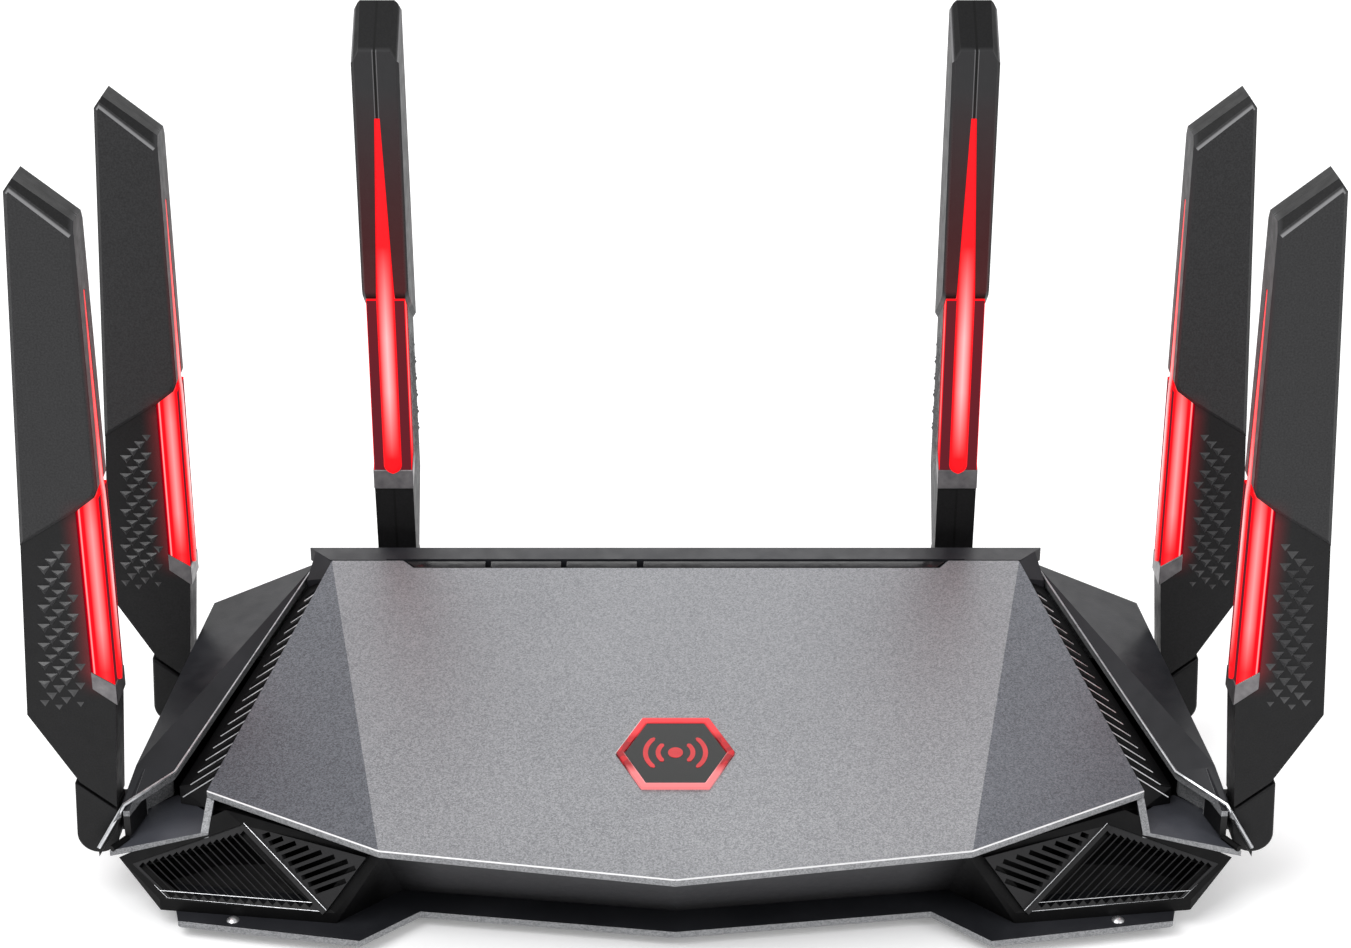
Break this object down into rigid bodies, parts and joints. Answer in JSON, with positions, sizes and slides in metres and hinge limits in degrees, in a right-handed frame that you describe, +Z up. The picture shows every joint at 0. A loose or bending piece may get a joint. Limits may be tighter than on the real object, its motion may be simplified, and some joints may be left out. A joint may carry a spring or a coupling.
{
  "type": "wireless router",
  "caption": "Angular desktop wireless router: faceted silver cover over a dark vented case, folding blade antennas with red light guides and hinged knuckles, ports at the back.",
  "frame": {"origin": "centre of the bounding box at the table", "axes": "+X to the right seen from the front, +Y to the back, +Z up"},
  "size_m": [0.3194, 0.1572, 0.2035],
  "materials": {
    "silver_paint": "satin metallic",
    "dark_case": "satin",
    "plate_black": "satin",
    "grille_black": "satin",
    "antenna_plastic": "fine texture",
    "lit_guide": "lit, translucent",
    "smoked_lens": "smoked gloss",
    "button_gloss": "gloss",
    "circuit_board": "solder mask",
    "sink_aluminium": "extruded",
    "shield_tin": "tinned",
    "socket_black": "moulded",
    "screw_steel": "turned",
    "foot_rubber": "matte"
  },
  "bodies": {
    "case": {"badge_bezel": "lit_guide", "badge_lens": "smoked_lens", "base_plate": "plate_black", "board_components": "shield_tin", "case_screws": "screw_steel", "dc_jack": "socket_black", "feet": "foot_rubber", "heat_sink": "sink_aluminium", "hinge_pins": "screw_steel", "left_deck": "dark_case", "left_front_grille": "grille_black", "left_side_louvre": "grille_black", "left_wing": "dark_case", "lower_case": "dark_case", "main_board": "circuit_board", "network_sockets": "socket_black", "rear_panel": "dark_case", "right_deck": "dark_case", "right_front_grille": "grille_black", "right_side_louvre": "grille_black", "right_wing": "dark_case", "status_window": "button_gloss", "top_panel": "silver_paint", "upper_case": "dark_case", "usb_socket": "socket_black"},
    "front_right_antenna": {"front_right_antenna_shell_a": "antenna_plastic", "front_right_antenna_shell_b": "antenna_plastic", "front_right_light_guide": "lit_guide", "front_right_aerial": "circuit_board", "front_right_knuckle": "antenna_plastic"},
    "front_left_antenna": {"front_left_antenna_shell_a": "antenna_plastic", "front_left_antenna_shell_b": "antenna_plastic", "front_left_light_guide": "lit_guide", "front_left_aerial": "circuit_board", "front_left_knuckle": "antenna_plastic"},
    "side_right_antenna": {"side_right_antenna_shell_a": "antenna_plastic", "side_right_antenna_shell_b": "antenna_plastic", "side_right_light_guide": "lit_guide", "side_right_aerial": "circuit_board", "side_right_knuckle": "antenna_plastic"},
    "side_left_antenna": {"side_left_antenna_shell_a": "antenna_plastic", "side_left_antenna_shell_b": "antenna_plastic", "side_left_light_guide": "lit_guide", "side_left_aerial": "circuit_board", "side_left_knuckle": "antenna_plastic"},
    "back_right_antenna": {"back_right_antenna_shell_a": "antenna_plastic", "back_right_antenna_shell_b": "antenna_plastic", "back_right_light_guide": "lit_guide", "back_right_aerial": "circuit_board", "back_right_knuckle": "antenna_plastic"},
    "back_left_antenna": {"back_left_antenna_shell_a": "antenna_plastic", "back_left_antenna_shell_b": "antenna_plastic", "back_left_light_guide": "lit_guide", "back_left_aerial": "circuit_board", "back_left_knuckle": "antenna_plastic"},
    "sync_button_body": {"sync_button": "button_gloss"},
    "lamp_button_body": {"lamp_button": "button_gloss"},
    "radio_button_body": {"radio_button": "button_gloss"},
    "power_button_body": {"power_button": "button_gloss"},
    "reset_button_body": {"reset_button": "button_gloss"}
  },
  "joints": [
    {"name": "front_right_fold", "type": "hinge", "parent": "case", "child": "front_right_antenna", "pos_m": [0.1451, -0.0419, 0.0197], "axis": [0, 1, 0], "range_deg": [0, 90]},
    {"name": "front_left_fold", "type": "hinge", "parent": "case", "child": "front_left_antenna", "pos_m": [-0.1451, -0.0419, 0.0197], "axis": [0, -1, 0], "range_deg": [0, 90]},
    {"name": "side_right_fold", "type": "hinge", "parent": "case", "child": "side_right_antenna", "pos_m": [0.1375, 0.0246, 0.0197], "axis": [0, 1, 0], "range_deg": [0, 90]},
    {"name": "side_left_fold", "type": "hinge", "parent": "case", "child": "side_left_antenna", "pos_m": [-0.1375, 0.0246, 0.0197], "axis": [0, -1, 0], "range_deg": [0, 90]},
    {"name": "back_right_fold", "type": "hinge", "parent": "case", "child": "back_right_antenna", "pos_m": [0.0785, 0.064, 0.0315], "axis": [-1, 0, 0], "range_deg": [0, 90]},
    {"name": "back_left_fold", "type": "hinge", "parent": "case", "child": "back_left_antenna", "pos_m": [-0.0785, 0.064, 0.0315], "axis": [-1, 0, 0], "range_deg": [0, 90]},
    {"name": "sync_button_press", "type": "slide", "parent": "case", "child": "sync_button_body", "axis": [0, 0.2178, -0.976], "range_m": [0, 0.0006], "stiffness_N_per_m": 600, "springref_m": -0.0006},
    {"name": "lamp_button_press", "type": "slide", "parent": "case", "child": "lamp_button_body", "axis": [0, 0.2178, -0.976], "range_m": [0, 0.0006], "stiffness_N_per_m": 600, "springref_m": -0.0006},
    {"name": "radio_button_press", "type": "slide", "parent": "case", "child": "radio_button_body", "axis": [0, 0.2178, -0.976], "range_m": [0, 0.0006], "stiffness_N_per_m": 600, "springref_m": -0.0006},
    {"name": "power_button_press", "type": "slide", "parent": "case", "child": "power_button_body", "axis": [0, -1, 0], "range_m": [0, 0.0016], "stiffness_N_per_m": 400, "springref_m": -0.0008},
    {"name": "reset_button_press", "type": "slide", "parent": "case", "child": "reset_button_body", "axis": [0, -1, 0], "range_m": [0, 0.0008], "stiffness_N_per_m": 400, "springref_m": -0.0008}
  ]
}
